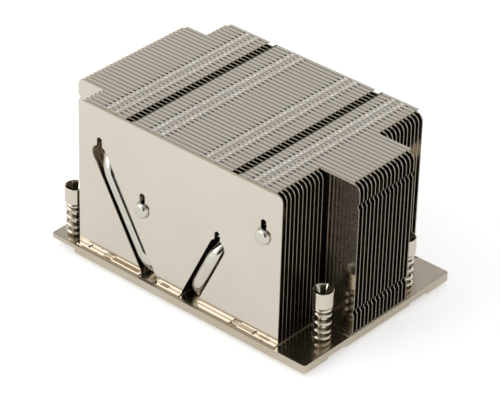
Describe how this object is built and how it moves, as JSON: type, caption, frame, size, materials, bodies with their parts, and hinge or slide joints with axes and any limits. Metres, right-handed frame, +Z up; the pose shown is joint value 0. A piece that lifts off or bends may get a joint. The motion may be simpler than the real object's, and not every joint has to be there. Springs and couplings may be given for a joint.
{
  "type": "passive server cpu heatsink",
  "caption": "Passive server CPU heatsink: a plated plate carries a stack of interlocked folded fins crossed by leaning heat pipes, with sprung captive screws at its corners.",
  "frame": {"origin": "centre of the bounding box at the bottom of the contact block", "axes": "+X along the plate, +Y across the fins towards the back, +Z up"},
  "size_m": [0.118, 0.0777, 0.064],
  "materials": {
    "plated_plate": "satin nickel plate",
    "plated_fin": "bright nickel plate",
    "plated_pipe": "bright nickel plate",
    "screw_steel": "polished nickel plate",
    "clip_steel": "satin",
    "spring_steel": "polished nickel plate"
  },
  "bodies": {
    "base": {"base_plate": "plated_plate", "fin_01": "plated_fin", "fin_02": "plated_fin", "fin_03": "plated_fin", "fin_04": "plated_fin", "fin_05": "plated_fin", "fin_06": "plated_fin", "fin_07": "plated_fin", "fin_08": "plated_fin", "fin_09": "plated_fin", "fin_10": "plated_fin", "fin_11": "plated_fin", "fin_12": "plated_fin", "fin_13": "plated_fin", "fin_14": "plated_fin", "fin_15": "plated_fin", "fin_16": "plated_fin", "fin_17": "plated_fin", "fin_18": "plated_fin", "fin_19": "plated_fin", "fin_20": "plated_fin", "fin_21": "plated_fin", "fin_22": "plated_fin", "fin_23": "plated_fin", "fin_24": "plated_fin", "fin_25": "plated_fin", "fin_26": "plated_fin", "fin_27": "plated_fin", "fin_28": "plated_fin", "fin_29": "plated_fin", "fin_30": "plated_fin", "fin_31": "plated_fin", "fin_32": "plated_fin", "fin_33": "plated_fin", "fin_34": "plated_fin", "fin_35": "plated_fin", "fin_36": "plated_fin", "fin_37": "plated_fin", "heat_pipe_front_outer": "plated_pipe", "heat_pipe_front_inner": "plated_pipe", "heat_pipe_rear_outer": "plated_pipe", "heat_pipe_rear_inner": "plated_pipe", "screw_spring_front_left": "spring_steel", "screw_spring_back_left": "spring_steel", "screw_spring_front_right": "spring_steel", "screw_spring_back_right": "spring_steel"},
    "clip_front_left": {"retaining_clip_front_left": "clip_steel"},
    "screw_front_left": {"captive_screw_front_left": "screw_steel"},
    "clip_back_left": {"retaining_clip_back_left": "clip_steel"},
    "screw_back_left": {"captive_screw_back_left": "screw_steel"},
    "clip_front_right": {"retaining_clip_front_right": "clip_steel"},
    "screw_front_right": {"captive_screw_front_right": "screw_steel"},
    "clip_back_right": {"retaining_clip_back_right": "clip_steel"},
    "screw_back_right": {"captive_screw_back_right": "screw_steel"}
  },
  "joints": [
    {"name": "press_front_left", "type": "slide", "parent": "base", "child": "clip_front_left", "axis": [0, 0, 1], "range_m": [-0.004, 0], "stiffness_N_per_m": 600, "springref_m": 0.004, "deforming": ["screw_spring_front_left"]},
    {"name": "turn_front_left", "type": "hinge", "parent": "clip_front_left", "child": "screw_front_left", "pos_m": [-0.0532, -0.0326, 0.02], "axis": [0, 0, 1], "continuous": true},
    {"name": "press_back_left", "type": "slide", "parent": "base", "child": "clip_back_left", "axis": [0, 0, 1], "range_m": [-0.004, 0], "stiffness_N_per_m": 600, "springref_m": 0.004, "deforming": ["screw_spring_back_left"]},
    {"name": "turn_back_left", "type": "hinge", "parent": "clip_back_left", "child": "screw_back_left", "pos_m": [-0.0532, 0.0326, 0.02], "axis": [0, 0, 1], "continuous": true},
    {"name": "press_front_right", "type": "slide", "parent": "base", "child": "clip_front_right", "axis": [0, 0, 1], "range_m": [-0.004, 0], "stiffness_N_per_m": 600, "springref_m": 0.004, "deforming": ["screw_spring_front_right"]},
    {"name": "turn_front_right", "type": "hinge", "parent": "clip_front_right", "child": "screw_front_right", "pos_m": [0.0519, -0.022, 0.02], "axis": [0, 0, 1], "continuous": true},
    {"name": "press_back_right", "type": "slide", "parent": "base", "child": "clip_back_right", "axis": [0, 0, 1], "range_m": [-0.004, 0], "stiffness_N_per_m": 600, "springref_m": 0.004, "deforming": ["screw_spring_back_right"]},
    {"name": "turn_back_right", "type": "hinge", "parent": "clip_back_right", "child": "screw_back_right", "pos_m": [0.0519, 0.022, 0.02], "axis": [0, 0, 1], "continuous": true}
  ]
}
